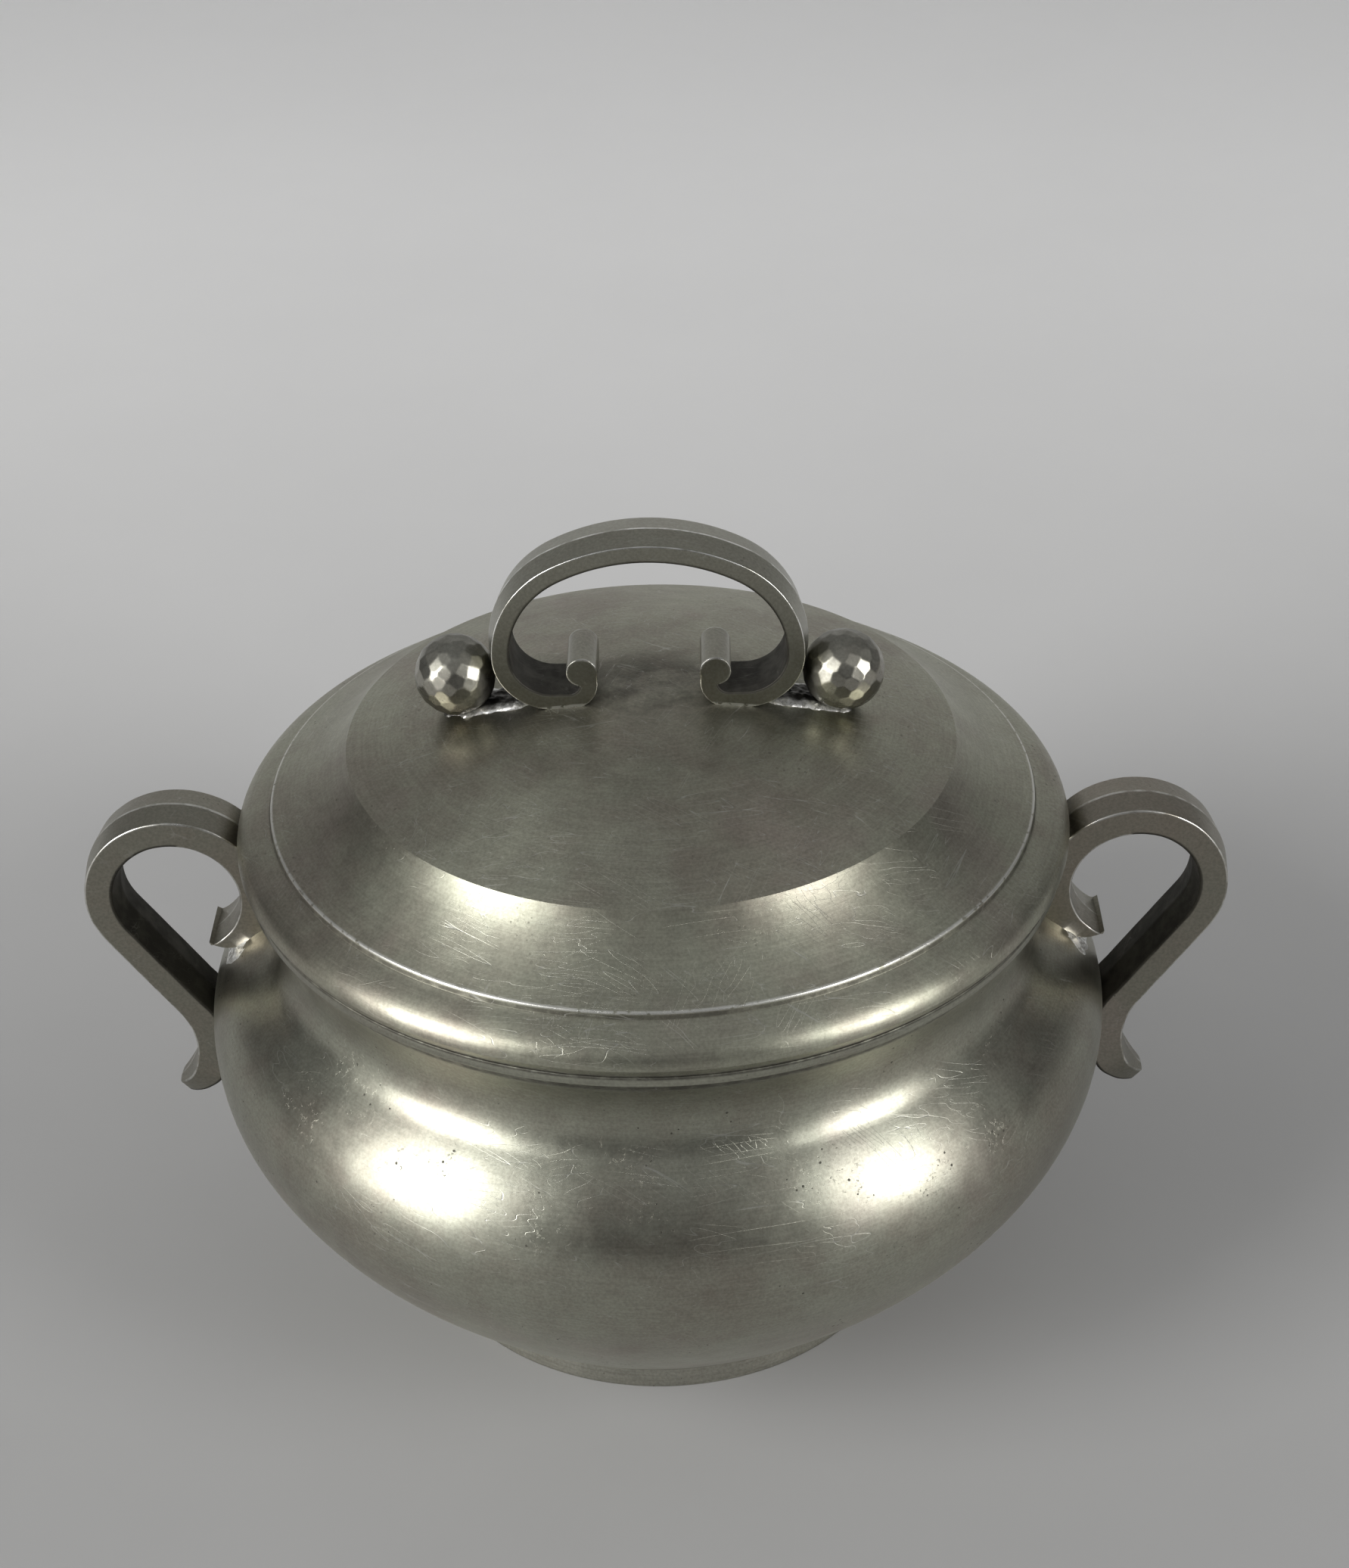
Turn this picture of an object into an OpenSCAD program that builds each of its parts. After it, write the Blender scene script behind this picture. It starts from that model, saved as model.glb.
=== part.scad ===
// Lidded pewter sugar bowl: a spun bowl on a low foot ring, with two cast strap handles,
// and a lift-off lid that carries a ridged bail between two planished balls.
// Millimetres, +Z up. The origin is the centre of the foot's underside, and the side
// handles lie along X.

/* [Bowl] */
// Outer radius of the belly at its widest
belly_r = 64.6; // [62:0.1:70]
// Height of the widest point of the belly
belly_z = 45; // [42:0.5:48]
// Outer radius of the bowl where it meets the foot
base_r = 36.6; // [34:0.1:42]
// Rise of the bowl's side where it leaves the foot, in degrees above the table
base_angle = 46; // [40:1:52]
// How far the lower side runs before it rounds into the belly
base_reach = 21; // [16:0.5:24]
// Outer radius where the shoulder ends and the neck begins
shoulder_r = 56.6; // [55.5:0.1:58]
// Height where the shoulder ends and the neck begins
shoulder_z = 58.8; // [57:0.1:60]
// Slope of the shoulder where it ends, in degrees above level
shoulder_angle = 36; // [30:1:45]
// How deeply the neck is drawn in between the shoulder and the rim
neck_reach = 5; // [4:0.1:6]
// Wall thickness of the bowl
bowl_wall = 1.4; // [1:0.1:1.8]

/* [Rim band] */
// Height of the rim's flat top, which the lid rests on
rim_z = 74.2; // [73:0.1:78]
// Outer radius of the rim band
rim_r = 57.4; // [57:0.1:57.8]
// Height of the rim band
rim_h = 1.5; // [1.2:0.1:2]
// Width of the rim band's flat top, in to the mouth
rim_w = 4.4; // [4:0.1:5]

/* [Foot ring] */
// Height of the foot ring
foot_h = 3.2; // [2.4:0.1:5]
// Outer radius of the foot ring on the table
foot_r = 36.9; // [36:0.1:42]
// How much narrower the foot ring is at its top
foot_taper = 0.7; // [0:0.1:1.5]
// Radial width of the foot ring
foot_w = 3.2; // [2:0.1:5]

/* [Lid] */
// Radius of the domed disc, out to its crease
disc_r = 42; // [38:0.1:45]
// Rise of the domed disc above its crease
disc_rise = 7.3; // [5:0.1:9]
// Height of the skirt between the step and the crease
skirt_h = 7.7; // [6:0.1:10]
// Slope of the skirt just outside the crease, in degrees
skirt_steep = 50; // [42:1:58]
// Slope of the skirt at the step, in degrees
skirt_flat = 24; // [16:1:30]
// How far in from the moulding's outside the skirt's lower edge stands
step_in = 5.1; // [4.2:0.1:6]
// Height of the small step below the skirt
step_h = 1.1; // [0.6:0.1:1.6]
// How far the small step stands out
step_out = 0.7; // [0.4:0.1:1]
// How far the rolled moulding round the lid stands out past the rim band
moulding_over = 0.7; // [0.5:0.1:1.4]
// Height of the rolled moulding
moulding_h = 5.6; // [5:0.1:7]
// Height of the moulding's widest point above the rim
moulding_low = 1.5; // [1.2:0.1:2]
// Sheet thickness of the lid
lid_wall = 1.3; // [1:0.1:1.6]

/* [Bezel] */
// Gap between the bezel and the mouth
bezel_gap = 0.35; // [0.25:0.05:0.6]
// How deep the bezel drops into the mouth
bezel_depth = 4; // [3:0.1:6]
// Sheet thickness of the bezel
bezel_wall = 1.15; // [0.8:0.05:1.5]

/* [Lid bail] */
// Width of the bail's strap
bail_w = 8.4; // [7:0.1:10]
// Thickness of the bail's strap at its edges
bail_t = 2.4; // [1.8:0.05:2.8]
// Height of the ridge along the outside of the bail
bail_ridge = 0.6; // [0.2:0.05:0.8]
// Outer radius of the flat top of the bail
bail_top_r = 28; // [24:0.5:34]
// Half angle of the flat top of the bail, in degrees
bail_top_angle = 27.5; // [22:0.5:32]
// Outer radius of the bail's sides
bail_side_r = 15.1; // [12:0.1:17]
// Outer radius of the bail's heels, which turn in under it
bail_heel_r = 8.2; // [6.5:0.1:9.5]
// Straight run of the bail along the disc
bail_toe = 2; // [1.5:0.1:3.5]
// Outer radius of the curl that lifts each toe into its roll
bail_curl_r = 3.95; // [3.6:0.05:4.4]
// Radius of the solid roll at each end of the bail
roll_r = 2.1; // [1.8:0.05:2.4]
// Height of the roll's centre above the curl's centre
roll_lift = 1.8; // [1.4:0.05:2.2]

/* [Balls] */
// Radius of the planished balls
ball_r = 5.6; // [4.5:0.1:6.5]
// Number of hammer flats on a ball
ball_flats = 34; // [20:2:36]
// Depth of a hammer flat
flat_depth = 0.14; // [0.08:0.01:0.15]

/* [Side handles] */
// Width of the handle's strap
strap_w = 9; // [7:0.1:11]
// Thickness of the handle's strap at its edges
strap_t = 3.9; // [3:0.1:4.5]
// Height of the ridge on both faces of the strap
strap_ridge = 0.5; // [0.2:0.05:0.7]
// Inside radius of the finger loop
loop_r = 9.1; // [8:0.1:10]
// Distance of the loop's centre outside the belly, or outside a rim that is wider for it
loop_out = 3.3; // [2.6:0.1:4.5]
// Height of the loop's centre
loop_z = 64.4; // [63.5:0.1:66]
// Radius of the hollow side of the tail, which curls outwards at the handle's lower end
tail_r = 11.5; // [9:0.1:13]
// Distance of the tail's hollow side outside the belly's radius, where it is upright
tail_out = 3.3; // [2.9:0.1:3.6]
// Height where the tail is upright
tail_z = 37.8; // [36:0.1:40]
// How far the tail curls outwards below that, in degrees
tail_turn = 52; // [40:1:65]
// Extra thickness of the tail where it is soldered to the belly
tail_pad = 0.8; // [0.6:0.1:1.2]
// Width of the tail at its rounded tip
tip_w = 2.6; // [1.5:0.1:4]
// Thickness of the tail at its tip
tip_t = 1.9; // [1.2:0.1:2.5]
// Radius of the rounded underside of the upper horn
horn_r = 4.3; // [3.8:0.1:5]
// Height of the horn's underside
horn_z = 55.7; // [55:0.1:57]

/* [Hidden] */
$fn = 96;

pewter = [0.46, 0.46, 0.42];
pewter_dark = [0.38, 0.38, 0.34];
pewter_bright = [0.60, 0.60, 0.57];
solder_grey = [0.74, 0.74, 0.72];

steps = 14;            // straight pieces in each curve of a turned profile
seat_bite = 0.25;      // how far a soldered piece is let into what carries it, before fitting
lid_clear = 0.4;       // gap between the handles and the lid, so that it lifts out
far = 200;             // larger than any piece

// ---- Curves -------------------------------------------------------------------

function heading(angle) = [cos(angle), sin(angle)];
function left_of(angle) = [-sin(angle), cos(angle)];

// Cubic curve from a to b, leaving a along angle_a and reaching b along angle_b. inset moves
// it to its left, which is towards the metal's inside on a profile that runs upwards.
function curve(a, angle_a, reach_a, b, angle_b, reach_b, inset = 0) =
    let (p0 = a + inset * left_of(angle_a),
         p3 = b + inset * left_of(angle_b),
         p1 = p0 + reach_a * heading(angle_a),
         p2 = p3 - reach_b * heading(angle_b))
    [for (i = [0:steps])
        let (t = i / steps, u = 1 - t)
        u * u * u * p0 + 3 * u * u * t * p1 + 3 * u * t * t * p2 + t * t * t * p3];

// ---- Bowl ---------------------------------------------------------------------

mouth_r = rim_r - rim_w;
base = [base_r, foot_h];
belly = [belly_r, belly_z];
shoulder = [shoulder_r, shoulder_z];
rim_z_low = rim_z - rim_h;
rim_flare = 50;                      // slope of the neck where it flares out under the rim
rim_lip = 0.2;                       // how far the rim band stands out past the neck
rim_joint = [rim_r - rim_lip, rim_z_low];
belly_reach = 14;                    // pull of the widest point on the lower side
crown_reach = 6;                     // pull of the widest point on the shoulder

function bowl_side(inset = 0) = concat(
    curve(base, base_angle, base_reach, belly, 90, belly_reach, inset),
    curve(belly, 90, crown_reach, shoulder, 180 - shoulder_angle, crown_reach, inset),
    curve(shoulder, 180 - shoulder_angle, neck_reach, rim_joint, rim_flare, neck_reach, inset));

bowl_outer = bowl_side();
bowl_inner = bowl_side(bowl_wall);

// Everything inside the bowl's outer surface, from the foot to the rim
module bowl_envelope() {
    rotate_extrude()
        polygon(concat([[0, foot_h]], bowl_outer, [[0, rim_z_low]]));
    translate([0, 0, rim_z_low])
        cylinder(r = rim_r, h = rim_h);
}

module bowl_body() {
    // The neck's top is cut level, so that the rim band sits flat on it.
    color(pewter)
        difference() {
            rotate_extrude()
                polygon(concat([[0, foot_h]], bowl_outer, [[0, rim_z_low]]));
            rotate_extrude()
                polygon(concat([[0, foot_h + bowl_wall]], bowl_inner,
                               [[bowl_inner[len(bowl_inner) - 1].x, rim_z], [0, rim_z]]));
        }
}

module rim_band() {
    color(pewter_bright)
        translate([0, 0, rim_z_low])
            rotate_extrude()
                translate([mouth_r, 0])
                    square([rim_w, rim_h]);
}

module foot_ring() {
    color(pewter_bright)
        rotate_extrude()
            polygon([[foot_r - foot_w, 0], [foot_r, 0], [foot_r - foot_taper, foot_h],
                     [foot_r - foot_w, foot_h]]);
}

// ---- Straps -------------------------------------------------------------------

// Stations of a strap bent round centre from a0 to a1. Each station is the point on the
// strap's one face, the point on its other face, the ridge's height on each of them, and the
// strap's width.
function bend(centre, r_a, r_b, a0, a1, n, ridge_a, ridge_b, w) =
    [for (i = [0:n])
        let (dir = heading(a0 + (a1 - a0) * i / n))
        [centre + r_a * dir, centre + r_b * dir, ridge_a, ridge_b, w]];

// The six corners of one station: flat edges at each side, and a ridge along each face
function corners(station) =
    let (a = station[0],
         b = station[1],
         half = station[4] / 2,
         out = (b - a) / norm(b - a),
         ridge_a = a - station[2] * out,
         ridge_b = b + station[3] * out)
    [[a.x, -half, a.y], [b.x, -half, b.y], [ridge_b.x, 0, ridge_b.y],
     [b.x, half, b.y], [a.x, half, a.y], [ridge_a.x, 0, ridge_a.y]];

// A solid strap through its stations, which lie in the XZ plane
module strap(stations) {
    points = [for (s = stations) each corners(s)];
    last = len(stations) - 1;
    sides = [for (i = [0:last - 1])
        for (k = [0:5])
            let (here = i * 6, there = here + 6, next = (k + 1) % 6)
            each [[here + k, there + k, there + next], [here + k, there + next, here + next]]];
    polyhedron(points = points,
               faces = concat([[0, 1, 2, 3, 4, 5]], sides,
                              [[for (k = [5:-1:0]) last * 6 + k]]));
}

// A pin across the strap's width, with its axis along Y
module cross_pin(centre, r, w) {
    translate([centre.x, w / 2, centre.y])
        rotate([90, 0, 0])
            cylinder(r = r, h = w);
}

// ---- Side handles -------------------------------------------------------------

rim_room = 7.2;                      // reach of the belly past the rim that the loops need
loop_c = [max(belly_r, rim_r + rim_room) + loop_out, loop_z];
tail_c = [belly_r + tail_out + tail_r, tail_z];

// The straight stretch is the inner tangent of the loop's and the tail's middle circles.
loop_to_tail = tail_c - loop_c;
mid_radii = loop_r + tail_r + strap_t;
tangent_angle = atan2(loop_to_tail.y, loop_to_tail.x) - asin(mid_radii / norm(loop_to_tail));
loop_start = tangent_angle + 90;
tail_start = tangent_angle + 270;
tail_end = 180 + tail_turn;
tongue_steps = 6;
rise_steps = 12;
taper = 33;                          // the tail narrows over this much of its curl, in degrees
tip_ridge = 0.2;                     // share of the ridge's height that is left at the tip
pad_half = 32;                       // the pad fades out this far from the upright, in degrees
root_angle = 150;                    // where the loop's strap broadens into its root
root_depth = 20;                     // reach of the root, before the bowl's wall cuts it off
horn_start = 226;                    // where the root's underside begins to show
horn_tip = 243;                      // the point of the horn
horn_in = 6.8;                       // the horn's centre lies this far inside the loop's
horn_c = [loop_c.x - horn_in, horn_z + horn_r];

// Distance from the loop's centre to the far side of the horn's rounded underside
function horn_reach(angle) =
    let (away = loop_c - horn_c,
         along = away * heading(angle))
    -along + sqrt(along * along - away * away + horn_r * horn_r);

// Thickness of the tail where it is not tapered
function tail_thick(angle) =
    strap_t + tail_pad * cos(min(abs(angle - 180) / pad_half, 1) * 90);

// The tapered end of the tail from its tip, which narrows and thins like a rounded tongue
tongue = [for (i = [0:tongue_steps - 1])
    let (angle = tail_end - taper * i / tongue_steps,
         share = sin(90 * i / tongue_steps),
         ridge = strap_ridge * (tip_ridge + (1 - tip_ridge) * share),
         thick = tip_t + (tail_thick(angle) - tip_t) * share)
    [tail_c + (tail_r + thick) * heading(angle), tail_c + tail_r * heading(angle),
     ridge, ridge, tip_w + (strap_w - tip_w) * share]];

// The rest of the tail, up the belly to the straight stretch
tail_rise = [for (i = [0:rise_steps])
    let (angle = tail_end - taper + (tail_start + taper - tail_end) * i / rise_steps)
    [tail_c + (tail_r + tail_thick(angle)) * heading(angle), tail_c + tail_r * heading(angle),
     strap_ridge, strap_ridge, strap_w]];

// From the tail's tip up the belly, round the finger loop, and down the neck to the horn
handle_path = concat(
    tongue,
    tail_rise,
    bend(loop_c, loop_r, loop_r + strap_t, loop_start, root_angle, 32,
         strap_ridge, strap_ridge, strap_w),
    bend(loop_c, loop_r, loop_r + root_depth, root_angle + 8, horn_start - 2, 12,
         strap_ridge, 0, strap_w),
    [for (i = [0:6])
        let (angle = horn_start + (horn_tip - horn_start) * i / 6, dir = heading(angle))
        [loop_c + loop_r * dir, loop_c + horn_reach(angle) * dir, strap_ridge * (1 - i / 7),
         0, strap_w]]);

module side_handle() {
    difference() {
        strap(handle_path);
        bowl_envelope();
        translate([0, 0, rim_z - lid_clear])
            cylinder(r = moulding_r + lid_clear, h = far);
    }
}

module right_handle() {
    color(pewter_dark)
        side_handle();
}

module left_handle() {
    color(pewter_dark)
        mirror([1, 0, 0])
            side_handle();
}

// ---- Lid ----------------------------------------------------------------------

moulding_r = rim_r + moulding_over;
step_r = moulding_r - step_in;
step_z = rim_z + moulding_h;
skirt_z = step_z + step_h;
disc_z = skirt_z + skirt_h;
dome_r = (disc_r * disc_r + disc_rise * disc_rise) / (2 * disc_rise);
dome_c = disc_z + disc_rise - dome_r;
disc_angle = asin(disc_r / dome_r);
moulding_slope = 22;                 // slope of the moulding where it leaves the step
skirt_reach = 4.6;                   // pull of each end of the skirt's curve
moulding_reach = 2.4;                // pull of each end of the moulding's curve
moulding_tuck = 0.6;                 // how far the moulding turns in again at the rim
seat_w = 2.8;                        // width of the lid's flat seat on the rim
flange_r = moulding_r - moulding_tuck - seat_w;

function dome_z(r) = dome_c + sqrt(dome_r * dome_r - r * r);

// Points along the domed disc from its crease to the crown
disc_points = [for (i = [0:steps])
    let (a = disc_angle * (1 - i / steps))
    [dome_r * sin(a), dome_c + dome_r * cos(a)]];

// Outside of the lid from the rim up to the crown. Negative angles run down and outwards.
function lid_outside() = concat(
    [[moulding_r - moulding_tuck, rim_z]],
    curve([moulding_r, rim_z + moulding_low], 90, moulding_reach,
          [step_r + step_out, step_z], 180 - moulding_slope, moulding_reach),
    curve([step_r, skirt_z], 180 - skirt_flat, skirt_reach,
          [disc_r, disc_z], 180 - skirt_steep, skirt_reach),
    [for (i = [1:steps]) disc_points[i]]);

// Inside of the lid from its seat up to the crown
function lid_inside() = concat(
    [[flange_r, rim_z], [flange_r, rim_z + moulding_low]],
    curve([step_r, skirt_z], 180 - skirt_flat, skirt_reach,
          [disc_r, disc_z], 180 - skirt_steep, skirt_reach, lid_wall),
    [for (i = [1:steps])
        let (a = disc_angle * (1 - i / steps), r = dome_r - lid_wall)
        [r * sin(a), dome_c + r * cos(a)]]);

module lid_shell() {
    inside = lid_inside();
    color(pewter)
        rotate_extrude()
            polygon(concat(lid_outside(), [for (i = [len(inside) - 1:-1:0]) inside[i]]));
}

// The bezel's wall drops into the mouth, and its flange joins the lid's rim from inside.
bezel_r = mouth_r - bezel_gap;

module lid_bezel() {
    color(pewter_dark)
        rotate_extrude()
            polygon([[bezel_r - bezel_wall, rim_z - bezel_depth], [bezel_r, rim_z - bezel_depth],
                     [bezel_r, rim_z], [flange_r, rim_z], [flange_r, rim_z + bezel_wall],
                     [bezel_r - bezel_wall, rim_z + bezel_wall]]);
}

// The space under the disc's outer surface, or under one raised above it, which fits what is
// soldered onto the disc
module under_disc(raise = 0) {
    translate([0, 0, raise])
        rotate_extrude()
            polygon(concat([[0, rim_z], [disc_r, rim_z]], disc_points));
}

// ---- Bail ---------------------------------------------------------------------

side_angle = 90 - bail_top_angle;
heel_x = (bail_top_r - bail_side_r) * cos(side_angle) + bail_side_r - bail_heel_r;
heel_z = dome_z(heel_x) - seat_bite + bail_heel_r;
heel_c = [heel_x, heel_z];
side_c = heel_c - [bail_side_r - bail_heel_r, 0];
top_c = side_c - (bail_top_r - bail_side_r) * heading(side_angle);
curl_c = [heel_x - bail_toe, heel_z - bail_heel_r + bail_curl_r];
roll_c = curl_c + [roll_r - bail_curl_r, roll_lift];
ridge_end = 50;                      // the ridge has faded out here, low on the heel
roll_proud = 0.1;                    // how far the roll stands out at each edge of the strap

// A point inside the roll, at a share of its radius
function in_roll(share, angle) = roll_c + share * roll_r * heading(angle);

// Stations of the bail, whose ridge runs along its outer face only
function bail_bend(centre, r, a0, a1, n, ridge) =
    bend(centre, r - bail_t, r, a0, a1, n, 0, ridge, bail_w);

// Right half of the bail, from inside its roll, round the toe and heel, to the top
bail_half = concat(
    [[in_roll(0.3, 0), in_roll(0.9, 140), 0, 0, bail_w],
     [in_roll(0.5, -60), in_roll(0.985, 180), 0, 0, bail_w]],
    bail_bend(curl_c, bail_curl_r, 180, 270, 10, 0),
    bail_bend(heel_c, bail_heel_r, -90, -ridge_end, 5, 0),
    bail_bend(heel_c, bail_heel_r, -ridge_end + 10, 0, 4, bail_ridge),
    bail_bend(side_c, bail_side_r, 8, side_angle, 8, bail_ridge),
    bail_bend(top_c, bail_top_r, side_angle + 5, 90, 5, bail_ridge));

function mirrored(station) =
    [[-station[0].x, station[0].y], [-station[1].x, station[1].y], station[2], station[3],
     station[4]];

module lid_bail() {
    path = concat(bail_half,
                  [for (i = [len(bail_half) - 2:-1:0]) mirrored(bail_half[i])]);
    color(pewter)
        difference() {
            union() {
                strap(path);
                cross_pin(roll_c, roll_r, bail_w + 2 * roll_proud);
                cross_pin([-roll_c.x, roll_c.y], roll_r, bail_w + 2 * roll_proud);
            }
            under_disc();
        }
}

// ---- Balls --------------------------------------------------------------------

// A ball rests on the disc and against the bail's heel.
ball_z = dome_z(heel_x + bail_heel_r + ball_r) + ball_r - seat_bite;
ball_gap = 0.02;                     // gap between a ball and the bail's ridge
ball_reach = bail_heel_r + bail_ridge + ball_r + ball_gap;
ball_x = heel_x + sqrt(pow(ball_reach, 2) - pow(heel_z - ball_z, 2));

golden_angle = 137.508;
flat_spare = 0.05;                   // a flat's cutter is this much wider than the flat
flat_r = sqrt(pow(ball_r, 2) - pow(ball_r - flat_depth, 2));

// Flats struck all over a ball, spaced evenly along a spiral from pole to pole
module planished_ball(turn) {
    difference() {
        sphere(r = ball_r);
        for (i = [0:ball_flats - 1]) {
            tilt = acos(1 - 2 * (i + 0.5) / ball_flats);
            rotate([0, tilt, turn + i * golden_angle])
                translate([0, 0, ball_r - flat_depth])
                    cylinder(r = flat_r + flat_spare, h = 2 * flat_depth, $fn = 24);
        }
    }
}

module right_ball() {
    color(pewter_bright)
        difference() {
            translate([ball_x, 0, ball_z])
                planished_ball(0);
            under_disc();
        }
}

module left_ball() {
    color(pewter_bright)
        difference() {
            translate([-ball_x, 0, ball_z])
                planished_ball(40);
            under_disc();
        }
}

// ---- Solder -------------------------------------------------------------------

solder_h = 0.7;                      // thickness of the solder left on the disc
solder_w = 0.7 * bail_w;
solder_in = 3;                       // where the solder begins, outside the heel's centre
solder_out = 2;                      // where it ends, outside the ball's centre
solder_gap = 0.05;                   // gap between the solder and the bail's heel

// Solder run along the disc between a ball and the bail's heel
module solder_pad() {
    difference() {
        intersection() {
            under_disc(solder_h);
            translate([heel_x + solder_in, -solder_w / 2, 0])
                cube([ball_x + solder_out - heel_x - solder_in, solder_w, far]);
        }
        under_disc();
        cross_pin(heel_c, bail_heel_r + solder_gap, 2 * bail_w);
        translate([ball_x, 0, ball_z])
            sphere(r = ball_r);
    }
}

module lid_solder() {
    color(solder_grey) {
        solder_pad();
        mirror([1, 0, 0])
            solder_pad();
    }
}

bowl_body();
rim_band();
foot_ring();
left_handle();
right_handle();
lid_shell();
lid_bezel();
lid_bail();
left_ball();
right_ball();
lid_solder();
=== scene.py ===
"""Looks of the lidded pewter sugar bowl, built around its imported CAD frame.

Sizes are in millimetres, in the frame's own axes, and become metres in make_object().
"""

import math

import bmesh
import bpy
import numpy as np
from mathutils import Euler, Matrix, Vector, noise


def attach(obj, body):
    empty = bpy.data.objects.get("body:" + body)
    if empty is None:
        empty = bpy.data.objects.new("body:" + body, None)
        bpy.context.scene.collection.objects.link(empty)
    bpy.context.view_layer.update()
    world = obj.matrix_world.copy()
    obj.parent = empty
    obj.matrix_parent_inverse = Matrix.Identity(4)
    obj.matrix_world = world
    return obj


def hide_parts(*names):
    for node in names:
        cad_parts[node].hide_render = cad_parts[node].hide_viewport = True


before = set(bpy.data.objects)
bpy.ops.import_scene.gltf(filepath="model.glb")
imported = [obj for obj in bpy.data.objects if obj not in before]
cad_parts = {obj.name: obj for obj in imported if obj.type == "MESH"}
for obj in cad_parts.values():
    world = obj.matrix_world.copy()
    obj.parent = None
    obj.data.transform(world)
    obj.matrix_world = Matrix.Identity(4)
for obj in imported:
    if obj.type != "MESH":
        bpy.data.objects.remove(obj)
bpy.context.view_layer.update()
noise.seed_set(1)               # or noise_vector is drawn from the clock
MM = 0.001                      # a millimetre, in metres
# The floor's colour runs from FLOOR_FRONT to FLOOR_BACK: painted light, darker in front and paler
# behind
FLOOR_FRONT = (0.33, 0.33, 0.33)
FLOOR_BACK = (0.93, 0.93, 0.93)
SKY_LOW, SKY_HIGH = 0.12, 0.40      # strength of the room's light at eye level and overhead

# ---- Sizes, as in the part's source -------------------------------------------------------

BELLY_R, BELLY_Z = 64.6, 45.0
BASE_R, BASE_ANGLE, BASE_REACH = 36.6, 46.0, 21.0
SHOULDER_R, SHOULDER_Z, SHOULDER_ANGLE = 56.6, 58.8, 36.0
NECK_REACH, BELLY_REACH, CROWN_REACH = 5.0, 14.0, 6.0
WALL = 1.4
RIM_Z, RIM_R, RIM_H, MOUTH_R = 74.2, 57.4, 1.5, 53.0
RIM_FLARE = 50.0
FOOT_H, FOOT_R, FOOT_TAPER, FOOT_W = 3.2, 36.9, 0.7, 3.2
DISC_R, DISC_RISE = 42.0, 7.3
SKIRT_H, SKIRT_STEEP, SKIRT_FLAT, SKIRT_REACH = 7.7, 50.0, 24.0, 4.6
STEP_R, STEP_H, STEP_OUT = 53.0, 1.1, 0.7
MOULDING_R, MOULDING_H, MOULDING_LOW = 58.1, 5.6, 1.5
MOULDING_SLOPE, MOULDING_REACH, MOULDING_TUCK = 22.0, 2.4, 0.6
LID_WALL, SEAT_W = 1.3, 2.8
BEZEL_GAP, BEZEL_DEPTH, BEZEL_WALL = 0.35, 4.0, 1.15
BAIL_W, BAIL_T, BAIL_RIDGE = 8.4, 2.4, 0.6
BAIL_TOP_R, BAIL_TOP_ANGLE, BAIL_SIDE_R, BAIL_HEEL_R = 28.0, 27.5, 15.1, 8.2
BAIL_TOE, BAIL_CURL_R, ROLL_R, ROLL_LIFT = 2.0, 3.95, 2.1, 1.8
BALL_R = 5.6
STRAP_W, STRAP_T, STRAP_RIDGE = 9.0, 3.9, 0.5
LOOP_R, LOOP_OUT, LOOP_Z = 9.1, 3.3, 64.4
TAIL_R, TAIL_OUT, TAIL_Z, TAIL_TURN = 11.5, 3.3, 37.8, 52.0
TAIL_PAD, PAD_HALF, TAIL_TAPER = 0.8, 32.0, 33.0
TIP_W, TIP_T, TIP_RIDGE = 2.6, 1.9, 0.2
HORN_R, HORN_Z = 4.3, 55.7
SEAT_BITE = 0.25
LID_CLEAR = 0.4


def heading(angle):
    """The direction at an angle in degrees, as (x, z) or (radius, height)."""
    return np.array([math.cos(math.radians(angle)), math.sin(math.radians(angle))])


def left_of(angle):
    """The direction 90 degrees to the left of a heading."""
    return heading(angle + 90)


def curve(a, angle_a, reach_a, b, angle_b, reach_b, inset=0.0, steps=28):
    """Cubic curve from a to b with the given headings. inset moves it to its left."""
    p0 = np.array(a) + inset * left_of(angle_a)
    p3 = np.array(b) + inset * left_of(angle_b)
    p1 = p0 + reach_a * heading(angle_a)
    p2 = p3 - reach_b * heading(angle_b)
    t = np.linspace(0, 1, steps + 1)[:, None]
    return ((1 - t) ** 3 * p0 + 3 * (1 - t) ** 2 * t * p1
            + 3 * (1 - t) * t ** 2 * p2 + t ** 3 * p3)


# ---- Mesh making --------------------------------------------------------------------------

def make_object(name, points, faces, sharp_angle=32.0, marks=None):
    """A mesh object from points in millimetres. marks holds named numbers per point."""
    mesh = bpy.data.meshes.new(name)
    mesh.from_pydata([tuple(p) for p in np.asarray(points) * MM], [], faces)
    for label, values in (marks or {}).items():
        attribute = mesh.attributes.new(label, "FLOAT", "POINT")
        attribute.data.foreach_set("value", np.asarray(values, np.float32))
    mesh.shade_smooth()
    mesh.set_sharp_from_angle(angle=math.radians(sharp_angle))
    mesh.validate()
    obj = bpy.data.objects.new(name, mesh)
    bpy.context.scene.collection.objects.link(obj)
    return obj


ARC_STEPS = 4                   # flats in a rounded corner, so it has one more point than that


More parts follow.
